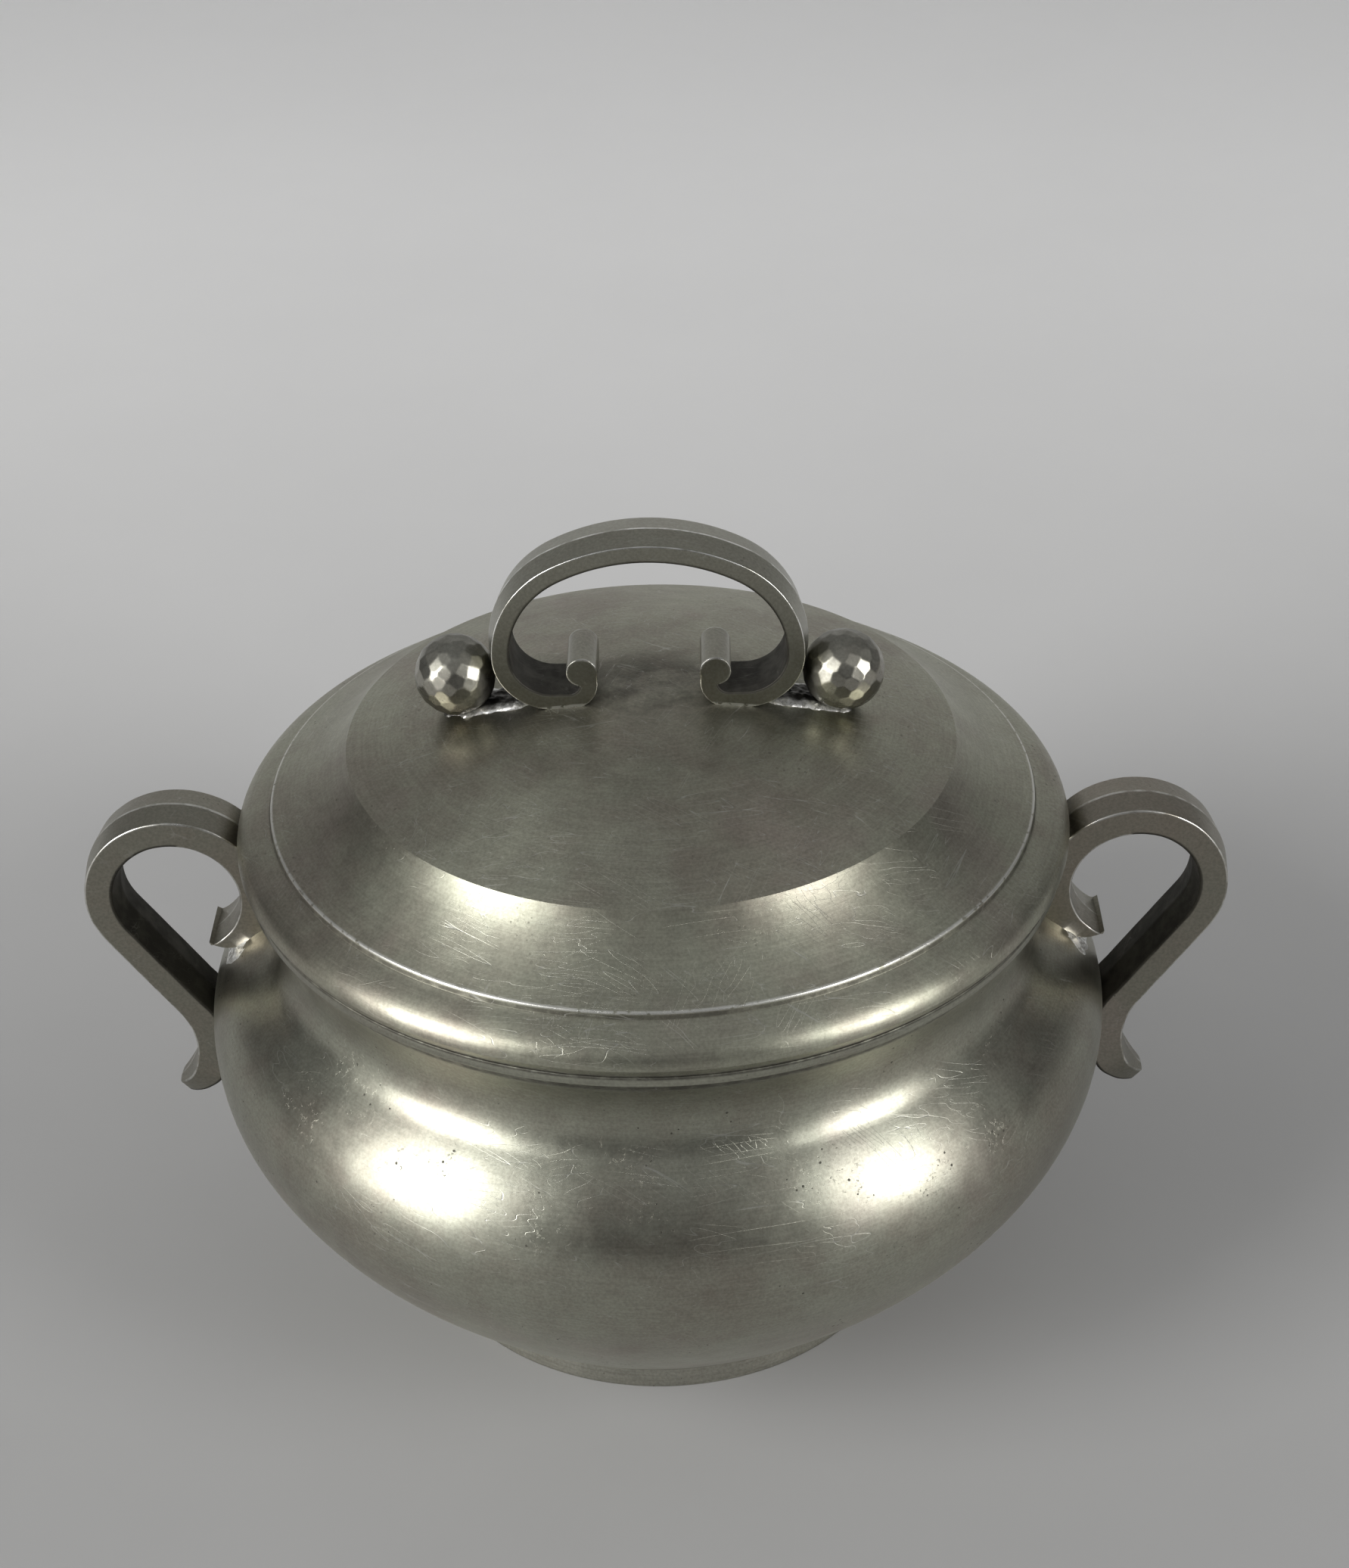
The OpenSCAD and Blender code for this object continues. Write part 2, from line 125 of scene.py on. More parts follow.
def rounded(outline, radii):
    """A closed outline with each corner that has a radius turned into an arc."""
    outline = [np.array(p, float) for p in outline]
    out = []
    for i, corner in enumerate(outline):
        radius = radii.get(i, 0) if isinstance(radii, dict) else radii[i]
        before, after = outline[i - 1] - corner, outline[(i + 1) % len(outline)] - corner
        if radius <= 0:
            out.append(corner)
            continue
        a, b = before / np.linalg.norm(before), after / np.linalg.norm(after)
        half = math.acos(max(-1, min(1, float(a @ b)))) / 2
        reach = min(radius / math.tan(half), 0.45 * np.linalg.norm(before),
                    0.45 * np.linalg.norm(after))
        for t in np.linspace(0, 1, ARC_STEPS + 1):
            out.append((1 - t) ** 2 * (corner + reach * a) + 2 * (1 - t) * t * corner
                       + t ** 2 * (corner + reach * b))
    return out


def lathe(name, outline, segments=288, wobble=0.0, sharp_angle=32.0):
    """Turns a closed outline of (radius, height) round +Z. Points on the axis become one vertex."""
    points, rings = [], []
    for r, z in outline:
        if r < 1e-6:
            rings.append([len(points)])
            points.append((0, 0, z))
            continue
        ring = []
        for i in range(segments):
            a = 2 * math.pi * i / segments
            place = Vector((math.cos(a) * r, math.sin(a) * r, z))
            push = wobble * noise.noise(place * 0.045)
            ring.append(len(points))
            points.append((math.cos(a) * (r + push), math.sin(a) * (r + push), z))
        rings.append(ring)
    faces = []
    for k, low in enumerate(rings):
        high = rings[(k + 1) % len(rings)]
        if len(low) == 1 and len(high) == 1:
            continue
        for i in range(segments):
            j = (i + 1) % segments
            if len(low) == 1:
                faces.append((low[0], high[j], high[i]))
            elif len(high) == 1:
                faces.append((low[i], low[j], high[0]))
            else:
                faces.append((low[i], low[j], high[j], high[i]))
    return make_object(name, points, faces, sharp_angle)


# ---- Bowl ---------------------------------------------------------------------------------

RIM_LOW = RIM_Z - RIM_H


def bowl_side(inset=0.0):
    """The bowl's side from the foot over the belly and the neck to the rim, as (radius, height)."""
    parts = (
        curve((BASE_R, FOOT_H), BASE_ANGLE, BASE_REACH, (BELLY_R, BELLY_Z), 90, BELLY_REACH, inset),
        curve((BELLY_R, BELLY_Z), 90, CROWN_REACH, (SHOULDER_R, SHOULDER_Z),
              180 - SHOULDER_ANGLE, CROWN_REACH, inset),
        curve((SHOULDER_R, SHOULDER_Z), 180 - SHOULDER_ANGLE, NECK_REACH,
              (RIM_R - 0.2, RIM_LOW), RIM_FLARE, NECK_REACH, inset),
    )
    return np.vstack([parts[0], parts[1][1:], parts[2][1:]])


BOWL_OUTER = bowl_side()


def bowl_radius(z):
    """Outer radius of the bowl at a height."""
    return float(np.interp(z, BOWL_OUTER[:, 1], BOWL_OUTER[:, 0]))


def make_bowl():
    inner = bowl_side(WALL)[::-1]
    outline = [(0, FOOT_H), *BOWL_OUTER, (inner[0][0], RIM_LOW), *inner[1:], (0, FOOT_H + WALL)]
    return lathe("bowl_wall", outline, wobble=0.12, sharp_angle=40)


def make_rim_band():
    corners = [(MOUTH_R, RIM_LOW), (RIM_R, RIM_LOW), (RIM_R, RIM_Z), (MOUTH_R, RIM_Z)]
    return lathe("rim_ring", rounded(corners, [0.1, 0.18, 0.22, 0.25]))


def make_foot_ring():
    corners = [(FOOT_R - FOOT_W, 0), (FOOT_R, 0), (FOOT_R - FOOT_TAPER, FOOT_H),
               (FOOT_R - FOOT_W, FOOT_H)]
    return lathe("foot_band", rounded(corners, [0.3, 0.35, 0.15, 0.1]))


# ---- Lid ----------------------------------------------------------------------------------

STEP_Z = RIM_Z + MOULDING_H
SKIRT_Z = STEP_Z + STEP_H
DISC_Z = SKIRT_Z + SKIRT_H
DOME_R = (DISC_R ** 2 + DISC_RISE ** 2) / (2 * DISC_RISE)
DOME_C = DISC_Z + DISC_RISE - DOME_R
DISC_ANGLE = math.asin(DISC_R / DOME_R)


def dome_z(r):
    """Height of the disc's top at a radius."""
    return DOME_C + math.sqrt(DOME_R ** 2 - r ** 2)


def dome_points(inset=0.0, steps=40):
    """The disc from just inside its crease to the middle."""
    out = []
    for i in range(1, steps + 1):
        a = DISC_ANGLE * (1 - i / steps)
        out.append(((DOME_R - inset) * math.sin(a), DOME_C + (DOME_R - inset) * math.cos(a)))
    return out


def skirt(inset=0.0):
    """The lid's hollow slope from the step up to the disc's crease."""
    return curve((STEP_R, SKIRT_Z), 180 - SKIRT_FLAT, SKIRT_REACH,
                 (DISC_R, DISC_Z), 180 - SKIRT_STEEP, SKIRT_REACH, inset)


def held(a, b, edge, hold):
    """Points along a straight flank from a to b: clear of both corners by edge, with two more that
    keep its shading flat."""
    a, b = np.array(a), np.array(b)
    along = (b - a) / np.linalg.norm(b - a)
    return [a + edge * along, a + hold * along, b - hold * along, b - edge * along]


def make_lid():
    moulding = curve((MOULDING_R, RIM_Z + MOULDING_LOW), 90, MOULDING_REACH,
                     (STEP_R + STEP_OUT, STEP_Z), 180 - MOULDING_SLOPE, MOULDING_REACH, steps=16)
    flange_r = MOULDING_R - MOULDING_TUCK - SEAT_W
    edge = 0.3
    wall_in = 0.45              # the step's wall stands this far in from the moulding's end
    wall_foot = moulding[-1] + wall_in * heading(180 - MOULDING_SLOPE)
    outside = [(MOULDING_R - MOULDING_TUCK - edge, RIM_Z), (MOULDING_R - MOULDING_TUCK, RIM_Z + edge),
               *moulding, *held(wall_foot, (STEP_R, SKIRT_Z), 0.06, 0.2),
               *held((STEP_R, SKIRT_Z), skirt()[1], 0.06, 0.2)[:2],
               *skirt()[1:-1], (DISC_R, DISC_Z), *dome_points()]
    inside = [(flange_r, RIM_Z), (flange_r, RIM_Z + MOULDING_LOW), *skirt(LID_WALL),
              *dome_points(LID_WALL)]
    return lathe("lid_sheet", outside + inside[::-1], segments=360, wobble=0.03, sharp_angle=24)


def make_bezel():
    r = MOUTH_R - BEZEL_GAP
    flange_r = MOULDING_R - MOULDING_TUCK - SEAT_W
    outline = [(r - BEZEL_WALL, RIM_Z - BEZEL_DEPTH), (r, RIM_Z - BEZEL_DEPTH), (r, RIM_Z),
               (flange_r, RIM_Z), (flange_r, RIM_Z + BEZEL_WALL), (r - BEZEL_WALL, RIM_Z + BEZEL_WALL)]
    return lathe("bezel_ring", rounded(outline, {0: 0.3, 1: 0.3, 5: 0.3}))


# ---- Straps -------------------------------------------------------------------------------

def bend(centre, r_a, r_b, a0, a1, step, ridge_a, ridge_b, width):
    """Stations round a centre: the strap's two face points, the ridge height on each, its width."""
    n = max(2, round(abs(a1 - a0) / step))
    out = []
    for i in range(n + 1):
        direction = heading(a0 + (a1 - a0) * i / n)
        out.append((centre + r_a * direction, centre + r_b * direction, ridge_a, ridge_b, width))
    return out


def section(a, b, ridge_a, ridge_b, width, soft, crest):
    """Points round one station, as (point, wear, hollow). Wear is on the edges, and hollow is
    on the first face. soft rounds the edges, and crest the ridges, where it is large because the
    flats meet at a wide angle: 1.5 rounds 0.2 mm."""
    start_wear, wear_w = 0.35, 0.22     # wear where an arc ends, and how far out it fades to none
    a, b = np.array(a), np.array(b)
    thick = np.linalg.norm(b - a)
    flat = [(-thick / 2, -width / 2), (thick / 2, -width / 2), (thick / 2 + ridge_b, 0),
            (thick / 2, width / 2), (-thick / 2, width / 2), (-thick / 2 - ridge_a, 0)]
    edge = min(soft, thick / 3, width / 3)
    curved = rounded(flat, [edge, edge, crest, edge, edge, crest])
    middle, out = (a + b) / 2, (b - a) / thick
    points = []
    for i, (s, y) in enumerate(curved):
        place = middle + s * out
        arc_end = i % (ARC_STEPS + 1) in (0, ARC_STEPS)
        points.append(((place[0], y, place[1]), start_wear if arc_end else 1.0,
                       1.0 if s < edge - thick / 2 + 0.01 else 0.0))
    extra = []
    n = len(points)
    for i in range(n):
        extra.append(points[i])
        if i % (ARC_STEPS + 1) == ARC_STEPS:    # two more points on the flat that follows
            p, q = np.array(points[i][0]), np.array(points[(i + 1) % n][0])
            both = points[i][2] * points[(i + 1) % n][2]
            near = min(wear_w / np.linalg.norm(q - p), 0.4)
            extra.extend([(tuple(p + (q - p) * near), 0.0, both),
                          (tuple(p + (q - p) * (1 - near)), 0.0, both)])
    return extra


def strap(name, stations, soft, crest, uneven=0.0):
    """A closed strap swept through its stations, with its surface moved about by uneven."""
    points, wear, hollow = [], [], []
    for station in stations:
        for place, worn, inner in section(*station, soft, crest):
            p = Vector(place)
            shift = noise.noise_vector(p * 0.35) * uneven
            points.append(np.array(p + shift))
            wear.append(worn)
            hollow.append(inner)
    size = len(points) // len(stations)
    faces = []
    for i in range(len(stations) - 1):
        for k in range(size):
            n = (k + 1) % size
            faces.append((i * size + k, i * size + n, (i + 1) * size + n, (i + 1) * size + k))
    faces.append(tuple(range(size - 1, -1, -1)))
    faces.append(tuple((len(stations) - 1) * size + k for k in range(size)))
    return make_object(name, points, faces, 26, {"wear": wear, "hollow": hollow})


def seat_on_bowl(obj, depth=0.35):
    """Moves what lies inside the bowl out to just below its surface, and clear of the lid."""
    lid_r = MOULDING_R + LID_CLEAR
    for v in obj.data.vertices:
        x, y, z = v.co / MM
        r = math.hypot(x, y)
        least = bowl_radius(z) - depth
        if r < least and FOOT_H < z < RIM_Z + 6:
            x, y, r = x * least / r, y * least / r, least
        if z > RIM_Z - LID_CLEAR and r < lid_r:
            if z - (RIM_Z - LID_CLEAR) < lid_r - r:
                z = RIM_Z - LID_CLEAR
            else:
                x, y = x * lid_r / r, y * lid_r / r
        v.co = Vector((x, y, z)) * MM


LOOP_C = np.array([BELLY_R + LOOP_OUT, LOOP_Z])
TAIL_C = np.array([BELLY_R + TAIL_OUT + TAIL_R, TAIL_Z])
# Angles round the loop where the strap enters the bowl, leaves it as the horn, and ends
ROOT_ANGLE, HORN_START, HORN_TIP = 150.0, 226.0, 243.0
HORN_IN = 6.8                   # centre of the horn's underside, in from the loop's centre
HORN_C = np.array([LOOP_C[0] - HORN_IN, HORN_Z + HORN_R])


def horn_reach(angle):
    """Distance from the loop's centre to the horn's rounded underside."""
    away = LOOP_C - HORN_C
    along = away @ heading(angle)
    return -along + math.sqrt(along ** 2 - away @ away + HORN_R ** 2)


def tail_stations(start):
    """The tail from its rounded tip, where it is a narrow tongue, up to the straight stretch."""
    end = 180 + TAIL_TURN
    tip_turn = 4.2              # degrees at the end that are rounded off
    out = []
    for angle in np.concatenate([end - np.array([0, 0.3, 0.8, 1.5, 2.4, 3.4]),
                                 np.linspace(end - 5, start, 40)]):
        share = math.sin(math.radians(90 * min((end - angle) / TAIL_TAPER, 1)))
        pad = TAIL_PAD * math.cos(math.radians(90 * min(abs(angle - 180) / PAD_HALF, 1)))
        thick = TIP_T + (STRAP_T + pad - TIP_T) * share
        width = TIP_W + (STRAP_W - TIP_W) * share
        ridge = STRAP_RIDGE * (TIP_RIDGE + (1 - TIP_RIDGE) * share)
        left = 1 - min((end - angle) / tip_turn, 1)
        blunt = math.sqrt(1 - 0.93 * left ** 2)
        middle = TAIL_R + thick / 2
        half = thick / 2 * blunt
        direction = heading(angle)
        out.append((TAIL_C + (middle + half) * direction, TAIL_C + (middle - half) * direction,
                    ridge * blunt, ridge * blunt, width * blunt))
    return out


def handle_path():
    """Stations from the tail's tip up the belly, round the finger loop, down to the horn."""
    inside_wall, furthest = 0.6, 40     # the root ends this far inside the bowl's outer surface
    gap = TAIL_C - LOOP_C
    distance = np.linalg.norm(gap)
    tangent = (math.degrees(math.atan2(gap[1], gap[0]))
               - math.degrees(math.asin((LOOP_R + TAIL_R + STRAP_T) / distance)))
    full = (STRAP_RIDGE, STRAP_RIDGE, STRAP_W)
    path = tail_stations(tangent + 270)
    loop = bend(LOOP_C, LOOP_R, LOOP_R + STRAP_T, tangent + 90, ROOT_ANGLE, 3, *full)
    first, last = path[-1], loop[0]
    for t in np.linspace(0, 1, 10)[1:-1]:
        path.append((first[0] + t * (last[0] - first[0]), first[1] + t * (last[1] - first[1]),
                     *full))
    path += loop
    for angle in np.arange(ROOT_ANGLE + 3, HORN_START, 3):
        direction = heading(angle)
        reach = LOOP_R + STRAP_T
        while True:             # grow the root until it is inside the bowl's wall
            point = LOOP_C + reach * direction
            if point[0] < bowl_radius(point[1]) - inside_wall or reach > furthest:
                break
            reach += 0.1
        path.append((LOOP_C + LOOP_R * direction, LOOP_C + reach * direction, STRAP_RIDGE, 0.0,
                     STRAP_W))
    for angle in np.linspace(HORN_START, HORN_TIP, 9):
        fade = 1 - 0.85 * (angle - HORN_START) / (HORN_TIP - HORN_START)
        path.append((LOOP_C + LOOP_R * heading(angle), LOOP_C + horn_reach(angle) * heading(angle),
                     STRAP_RIDGE * fade, 0.0, STRAP_W))
    return path


def make_side_handle(name, side):
    obj = strap(name, handle_path(), 0.30, 2.6, uneven=0.04)
    hollow = obj.data.attributes["hollow"].data
    for v in obj.data.vertices:
        # the horn and the root get none of the inner face's dirt and painted shade
        if v.co.x < (LOOP_C[0] - 1) * MM and v.co.z > (HORN_Z - 2) * MM:
            hollow[v.index].value = 0
    seat_on_bowl(obj)
    if side < 0:
        for v in obj.data.vertices:
            v.co.x = -v.co.x
        obj.data.flip_normals()
    return obj


# ---- Bail ---------------------------------------------------------------------------------

SIDE_ANGLE = 90 - BAIL_TOP_ANGLE
HEEL_X = (BAIL_TOP_R - BAIL_SIDE_R) * math.cos(math.radians(SIDE_ANGLE)) + BAIL_SIDE_R - BAIL_HEEL_R
HEEL_C = np.array([HEEL_X, dome_z(HEEL_X) - SEAT_BITE + BAIL_HEEL_R])
SIDE_C = HEEL_C - [BAIL_SIDE_R - BAIL_HEEL_R, 0]
TOP_C = SIDE_C - (BAIL_TOP_R - BAIL_SIDE_R) * heading(SIDE_ANGLE)
CURL_C = np.array([HEEL_X - BAIL_TOE, HEEL_C[1] - BAIL_HEEL_R + BAIL_CURL_R])
ROLL_C = CURL_C + [ROLL_R - BAIL_CURL_R, ROLL_LIFT]
ROLL_EDGE = 0.12                # rounding at the ends of each roll
ROLL_END = BAIL_W / 2 + 0.015   # the rolls stand just proud of the strap's sides


def cross_roll(centre):
    """A solid roll across the strap, with softened ends."""
    held_r, held_y = ROLL_R - 3 * ROLL_EDGE, ROLL_END - 3 * ROLL_EDGE
    outline = rounded([(0, -ROLL_END), (held_r, -ROLL_END), (ROLL_R, -ROLL_END), (ROLL_R, -held_y),
                       (ROLL_R, held_y), (ROLL_R, ROLL_END), (held_r, ROLL_END), (0, ROLL_END)],
                      {2: ROLL_EDGE, 5: ROLL_EDGE})
    roll = lathe("roll", outline, segments=64)
    turn = Matrix.Rotation(math.radians(90), 4, "X")
    roll.data.transform(Matrix.Translation((centre[0] * MM, 0, centre[1] * MM)) @ turn)
    return roll


def mark_rolls(mesh):
    """Sets wear and hollow on the rolls' own points, which a union leaves wrong. The rim of each
    end is worn, but not where the strap runs into the roll."""
    near = 0.002
    merged_from, merged_to = 172, 282       # degrees round the roll
    wear, hollow = (mesh.attributes[label].data for label in ("wear", "hollow"))
    for v in mesh.vertices:
        x, y, z = v.co / MM
        r = math.hypot(abs(x) - ROLL_C[0], z - ROLL_C[1])
        if r < ROLL_R + near and (r > ROLL_R - near or abs(y) > BAIL_W / 2 + near):
            turned = math.degrees(math.atan2(z - ROLL_C[1], abs(x) - ROLL_C[0])) % 360
            worn = (r > ROLL_R - 1.1 * ROLL_EDGE and abs(y) > ROLL_END - 1.1 * ROLL_EDGE
                    and not merged_from < turned < merged_to)
            wear[v.index].value = float(worn)
            hollow[v.index].value = 0.0


def joined(obj, others):
    """Unites closed meshes into one and removes the others."""
    for other in others:
        step = obj.modifiers.new("join", "BOOLEAN")
        step.operation = "UNION"
        step.solver = "EXACT"
        step.object = other
    graph = bpy.context.evaluated_depsgraph_get()
    mesh = bpy.data.meshes.new_from_object(obj.evaluated_get(graph))
    obj.modifiers.clear()
    obj.data = mesh
    for other in others:
        bpy.data.objects.remove(other)
    return obj


def in_roll(share, angle):
    """A point inside a roll, at a share of its radius."""
    return ROLL_C + share * ROLL_R * heading(angle)


def bail_bend(centre, r, a0, a1, step, ridge):
    """A bend of the bail whose outer face has the radius r."""
    return bend(centre, r - BAIL_T, r, a0, a1, step, 0, ridge, BAIL_W)


def make_bail():
    """The bail from one roll to its crown, mirrored, with a roll united to each end. Its ridge
    rises along the heel, from nothing at -50 degrees to its full height at -30."""
    half = [(in_roll(0.3, 0), in_roll(0.9, 140), 0, 0, BAIL_W),
            (in_roll(0.5, -60), in_roll(0.985, 180), 0, 0, BAIL_W)]
    half += bail_bend(CURL_C, BAIL_CURL_R, 180, 270, 5, 0)
    half += bail_bend(HEEL_C, BAIL_HEEL_R, -90, -52, 4, 0)
    half += [(HEEL_C + (BAIL_HEEL_R - BAIL_T) * heading(a), HEEL_C + BAIL_HEEL_R * heading(a), 0,
              BAIL_RIDGE * (a + 50) / 20, BAIL_W) for a in (-48, -44, -40, -36, -32)]
    half += bail_bend(HEEL_C, BAIL_HEEL_R, -28, 0, 4, BAIL_RIDGE)
    half += bail_bend(SIDE_C, BAIL_SIDE_R, 3, SIDE_ANGLE, 3, BAIL_RIDGE)
    half += bail_bend(TOP_C, BAIL_TOP_R, SIDE_ANGLE + 2, 90, 2, BAIL_RIDGE)
    flip = [(a * [-1, 1], b * [-1, 1], *rest) for a, b, *rest in half[-2::-1]]
    bail = strap("bail_strap", half + flip, 0.18, 1.5)
    bail = joined(bail, [cross_roll(ROLL_C), cross_roll(ROLL_C * [-1, 1])])
    mark_rolls(bail.data)
    bail.data.set_sharp_from_angle(angle=math.radians(30))
    return bail


# ---- Balls and solder ---------------------------------------------------------------------

BALL_Z = dome_z(HEEL_X + BAIL_HEEL_R + BALL_R) + BALL_R - SEAT_BITE
BALL_X = HEEL_X + math.sqrt((BAIL_HEEL_R + BAIL_RIDGE + BALL_R) ** 2 - (HEEL_C[1] - BALL_Z) ** 2)


GOLDEN_ANGLE = 137.508          # degrees from one hammer mark to the next along the spiral
BALL_FLATS, FLAT_DEPTH = 130, 0.13


def make_ball(name, x, turn):
    """A ball planished all over with shallow hammer flats of different depths."""
    mesh = bmesh.new()
    bmesh.ops.create_icosphere(mesh, subdivisions=6, radius=1)
    marks = []
    for i in range(BALL_FLATS):
        tilt = math.acos(1 - 2 * (i + 0.5) / BALL_FLATS)
        turned = math.radians(turn + i * GOLDEN_ANGLE)
        jitter = noise.noise_vector(Vector((i * 1.7, turn * 0.31, 4.2))) * 0.13
        mark = Vector((math.sin(tilt) * math.cos(turned), math.sin(tilt) * math.sin(turned),
                       math.cos(tilt))) + jitter
        marks.append(mark.normalized())
    marks = np.array(marks)
    points = np.array([v.co.normalized() for v in mesh.verts])
    deep = FLAT_DEPTH * (0.75 + 0.5 * np.abs(np.sin(np.arange(BALL_FLATS) * 2.4 + turn)))
    facing = np.clip(points @ marks.T, 0.05, 1)
    cut = (BALL_R - deep) / facing
    cut = np.minimum(cut, BALL_R)
    soft = 0.004                # rounds the ridges between hammer marks
    radius = -soft * np.log(np.exp(-(cut - BALL_R) / soft).sum(axis=1)) + BALL_R
    radius += soft * math.log(BALL_FLATS)
    radius = np.minimum(radius, BALL_R)
    for v, p, r in zip(mesh.verts, points, radius):
        v.co = Vector((x, 0, BALL_Z)) + Vector(p) * r
    out = make_object(name, [v.co for v in mesh.verts],
                      [[v.index for v in f.verts] for f in mesh.faces], 60)
    mesh.free()
    return out


def crust(name, side, nx, ny, thick, place):
    """A rough closed crust of solder, about as thick as thick. place(u, v) gives a place on the
    metal under it and the direction away from that metal; u and v run from -1 to 1."""
    least, edge_sunk, base_sunk = 0.03, 0.12, 0.3       # the rough edge dips into the metal
    top, bottom = [], []
    for i in range(nx + 1):
        for j in range(ny + 1):
            u, v = 2 * i / nx - 1, 2 * j / ny - 1
            seat, away = place(u, v)
            spot = Vector((seat.x * 0.7 + side * 9, seat.y * 0.7, seat.z * 0.3))
            ragged = 1 + 0.6 * noise.noise(spot)
            inside = 1 - (abs(u) ** 2.6 + abs(v) ** 2.6) * ragged
            lump = noise.fractal(Vector((seat.x * 0.8, seat.y * 0.8, side * 3.0)), 0.8, 2.1, 3)
            height = thick * (1 + 0.4 * lump) * max(inside, 0) ** 0.7
            top.append(seat + away * (max(height, least) if inside > 0 else -edge_sunk))
            bottom.append(seat - away * base_sunk)
    points = [(side * p.x, p.y, p.z) for p in top + bottom]
    row, count = ny + 1, (nx + 1) * (ny + 1)
    faces = []
    for i in range(nx):
        for j in range(ny):
            a, b, c, d = i * row + j, (i + 1) * row + j, (i + 1) * row + j + 1, i * row + j + 1
            faces.append((a, b, c, d))
            faces.append((d + count, c + count, b + count, a + count))
    border = ([i * row for i in range(nx)] + [nx * row + j for j in range(ny)]
              + [i * row + ny for i in range(nx, 0, -1)] + [j for j in range(ny, 0, -1)])
    for k, a in enumerate(border):
        b = border[(k + 1) % len(border)]
        faces.append((b, a, a + count, b + count))
    if side < 0:
        faces = [f[::-1] for f in faces]
    return make_object(name, points, faces, 50)


def make_solder(name, side):
    """Solder run along the disc between the ball and the bail's heel."""
    x0, x1, half = HEEL_X + 0.6, BALL_X + 1.8, 3.2

    def place(u, v):
        x, y = (x0 + x1) / 2 + u * (x1 - x0) / 2, v * half
        return Vector((x, y, dome_z(math.hypot(x, y)))), Vector((0, 0, 1))

    return crust(name, side, 72, 44, 0.7, place)


def make_horn_solder(name, side):
    """Solder run over the shoulder round the foot of the horn."""
    z0, z1, half_angle = HORN_Z - 2.3, HORN_Z + 1.7, 6.8
    step = 0.2                  # for the slope of the shoulder

    def place(u, v):
        z = (z0 + z1) / 2 - u * (z1 - z0) / 2
        a, r = math.radians(v * half_angle), bowl_radius(z)
        slope = (bowl_radius(z - step) - bowl_radius(z + step)) / (2 * step)
        away = Vector((math.cos(a), math.sin(a), slope)).normalized()
        return Vector((r * math.cos(a), r * math.sin(a), z)), away

    return crust(name, side, 36, 72, 0.42, place)


# ---- Materials ----------------------------------------------------------------------------

class Nodes:
    """Short names for building a node tree."""

    def __init__(self, name):
        self.material = bpy.data.materials.new(name)
        self.material.use_nodes = True
        self.tree = self.material.node_tree
        self.tree.nodes.clear()
        self.out = self.add("OutputMaterial")
        self.shader = self.add("BsdfPrincipled")
        self.link(self.shader.outputs["BSDF"], self.out.inputs["Surface"])

    def add(self, kind, **settings):
        node = self.tree.nodes.new("ShaderNode" + kind)
        for key, value in settings.items():
            setattr(node, key, value)
        return node

    def link(self, a, b):
        self.tree.links.new(a, b)

    def put(self, socket, value):
        if isinstance(value, bpy.types.NodeSocket):
            self.link(value, socket)
        else:
            socket.default_value = value

    def math(self, operation, a, b=0.0, clamp=False):
        node = self.add("Math", operation=operation, use_clamp=clamp)
        self.put(node.inputs[0], a)
        self.put(node.inputs[1], b)
        return node.outputs[0]

    def vector(self, operation, a, b=(0, 0, 0)):
        node = self.add("VectorMath", operation=operation)
        self.put(node.inputs[0], a)
        if operation == "SCALE":
            self.put(node.inputs["Scale"], b)
        else:
            self.put(node.inputs[1], b)
        return node.outputs["Value" if operation in ("LENGTH", "DOT_PRODUCT") else "Vector"]

    def ramp(self, value, low, high, to_low=0.0, to_high=1.0):
        node = self.add("MapRange", interpolation_type="SMOOTHSTEP")
        for socket, number in zip(node.inputs[:5], (value, low, high, to_low, to_high)):
            self.put(socket, number)
        return node.outputs[0]

    def mix(self, factor, a, b):
        node = self.add("Mix", data_type="RGBA")
        self.put(node.inputs["Factor"], factor)
        self.put(node.inputs[6], (*a, 1) if isinstance(a, tuple) else a)
        self.put(node.inputs[7], (*b, 1) if isinstance(b, tuple) else b)
        return node.outputs[2]

    def noise(self, place, scale, detail=3.0, rough=0.55, w=None):
        node = self.add("TexNoise", noise_dimensions="4D" if w is not None else "3D")
        self.put(node.inputs["Vector"], place)
        if w is not None:
            self.put(node.inputs["W"], w)
        node.inputs["Scale"].default_value = scale
        node.inputs["Detail"].default_value = detail
        node.inputs["Roughness"].default_value = rough
        return node.outputs[0]


OLIVE = (0.37, 0.373, 0.308)    # clean pewter
BROWN = (0.27, 0.24, 0.20)      # tarnish
ROSE = (0.37, 0.31, 0.28)       # the redder tarnish here and there
BRIGHT = (0.66, 0.66, 0.62)     # a scratch
RUBBED_AND_HIGHLIGHT = (0.92, 0.92, 0.89)     # a worn edge, and the painted highlight on the lid's step
SOOT_AND_SHADE = (0.055, 0.052, 0.045)    # dirt in the crevices, and painted shade in them
# Pitch and turn of each set of scratches, in degrees
SCRATCH_DIRECTIONS = ((0, 12), (8, -35), (-6, 68), (14, 118), (-20, 155), (4, -8), (30, 30))


